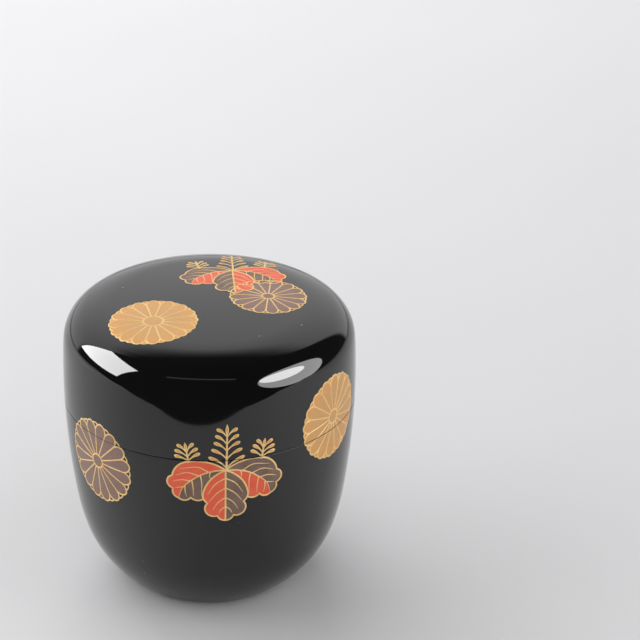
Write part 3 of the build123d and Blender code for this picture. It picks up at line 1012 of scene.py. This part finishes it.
# Name, azimuth and elevation, distance, width and height, radiance, and what differs from a plain softbox.
LIGHTS = (
    ("left_softbox", (-98.3, 33.7), 0.8, (0.592, 0.531), 13.5, {"facing": (-103.6, 9.6, -4.6)}),
    ("right_umbrella", (61, 21), 0.9, (0.95, 0.78), 5.0, {"shape": "ELLIPSE"}),
    ("right_umbrella_core", (54, 30), 0.8, (0.52, 0.30), 10.0, {"shape": "ELLIPSE"}),
    ("ceiling_strip", (-14, 53), 0.8, (0.60, 0.045), 0.6, {}),
    ("left_fill", (-104, 34), 1.0, (1.0, 0.8), 1.35, {"mirrored": False}),
    ("right_fill", (70, 32), 1.1, (0.9, 0.8), 0.7, {"mirrored": False}),
    ("back_fill", (-168, 40), 1.0, (0.9, 0.6), 2.9, {"mirrored": False}),
    ("front_fill", (-8, 38), 1.4, (1.0, 0.8), 0.9, {"mirrored": False}),
)


def turned(azimuth, elevation, roll=0.0):
    """Turn whose +Z points away from the caddy at an azimuth and elevation."""
    turn = Matrix.Identity(4)
    for degrees, axis in ((azimuth, "Z"), (90 - elevation, "X"), (roll, "Z")):
        turn = turn @ Matrix.Rotation(math.radians(degrees), 4, axis)
    return turn


def add_camera():
    """Camera above the front, a little to the left, looking down past the caddy's right."""
    data = bpy.data.cameras.new("camera")
    data.lens = CAMERA_LENS
    data.clip_start = 0.01
    camera = bpy.data.objects.new("camera", data)
    camera.matrix_world = Matrix.Translation(CAMERA_PLACE) @ turned(CAMERA_TURN, CAMERA_DIP, CAMERA_ROLL)
    bpy.context.scene.collection.objects.link(camera)
    bpy.context.scene.camera = camera


def table_paper():
    """Pale paper, very slightly clouded."""
    finish = Finish("table_paper", Roughness=0.75, IOR=1.4)
    cloud = finish.remap(finish.noise(3.0, 2.0), 0.3, 0.7)
    finish.colour(finish.blend(cloud, rgb(232, 232, 234), rgb(238, 238, 239)))
    return finish.material


def add_table(name, near, far, paper, mirrored):
    """Part of the table's top between two distances, seen in the lacquer only if it is mirrored."""
    bm = bmesh.new()
    bmesh.ops.create_grid(bm, x_segments=1, y_segments=1, size=1.0)
    bmesh.ops.scale(bm, vec=(TABLE_REACH, (far - near) / 2, 1), verts=bm.verts)
    bmesh.ops.translate(bm, vec=(0, (far + near) / 2, 0), verts=bm.verts)
    bmesh.ops.rotate(bm, matrix=Matrix.Rotation(math.radians(TABLE_TURN), 3, "Z"), verts=bm.verts)
    mesh = bpy.data.meshes.new(name)
    bm.to_mesh(mesh)
    bm.free()
    mesh.materials.append(paper)
    table = bpy.data.objects.new(name, mesh)
    table.visible_glossy = mirrored
    bpy.context.scene.collection.objects.link(table)


def add_light(name, towards, distance, size, radiance, facing=None, shape="RECTANGLE", mirrored=True):
    """Area light towards an azimuth and elevation from the caddy.

    A mirrored light is seen in the lacquer only; the others only light the scene.
    """
    data = bpy.data.lights.new(name, "AREA")
    data.shape = shape
    data.size, data.size_y = size
    roundness = math.pi / 4 if shape == "ELLIPSE" else 1.0
    data.energy = radiance * math.pi * size[0] * size[1] * roundness
    light = bpy.data.objects.new(name, data)
    place = turned(*towards) @ Vector((0, 0, distance))
    light.matrix_world = Matrix.Translation(place) @ turned(*(facing or towards))
    light.visible_camera = False
    light.visible_glossy = mirrored
    light.visible_diffuse = not mirrored
    bpy.context.scene.collection.objects.link(light)


def add_surroundings():
    """Pale backdrop behind the table and dark room in front in the lacquer, even light elsewhere."""
    world = bpy.data.worlds.new("studio")
    bpy.context.scene.world = world
    world.use_nodes = True
    room = NodeWork(world.node_tree)
    direction = room.node("ShaderNodeTexCoord").outputs["Generated"]
    split = room.node("ShaderNodeSeparateXYZ", [("Vector", direction)])
    x, y, z = [split.outputs[axis] for axis in "XYZ"]
    level = room.math("SQRT", room.math("ADD", room.math("POWER", x, 2.0), room.math("POWER", y, 2.0)))
    behind = room.remap(room.math("DIVIDE", y, level), *BACKDROP_SIDES, curve="SMOOTHSTEP")
    below_top = room.remap(z, *BACKDROP_TOP, curve="SMOOTHSTEP")
    mirrored = room.blend(room.math("MULTIPLY", behind, below_top), DARK_ROOM, BACKDROP)
    in_lacquer = room.node("ShaderNodeLightPath").outputs["Is Glossy Ray"]
    seen = room.blend(in_lacquer, ROOM_LIGHT, mirrored)
    room.links.new(seen, room.nodes["Background"].inputs["Color"])


def set_up_studio():
    """Camera, table, lights and surroundings."""
    add_camera()
    paper = table_paper()
    add_table("table", TABLE_EDGE, TABLE_REACH, paper, True)
    add_table("table_front", -TABLE_REACH, TABLE_EDGE, paper, False)
    for name, towards, distance, size, radiance, details in LIGHTS:
        add_light(name, towards, distance, size, radiance, **details)
    add_surroundings()
    bpy.context.scene.view_settings.view_transform = "Standard"


show_wood()
make_coats()
make_side_chrysanthemums()
make_side_paulownias()
make_crown_pictures()
set_up_studio()
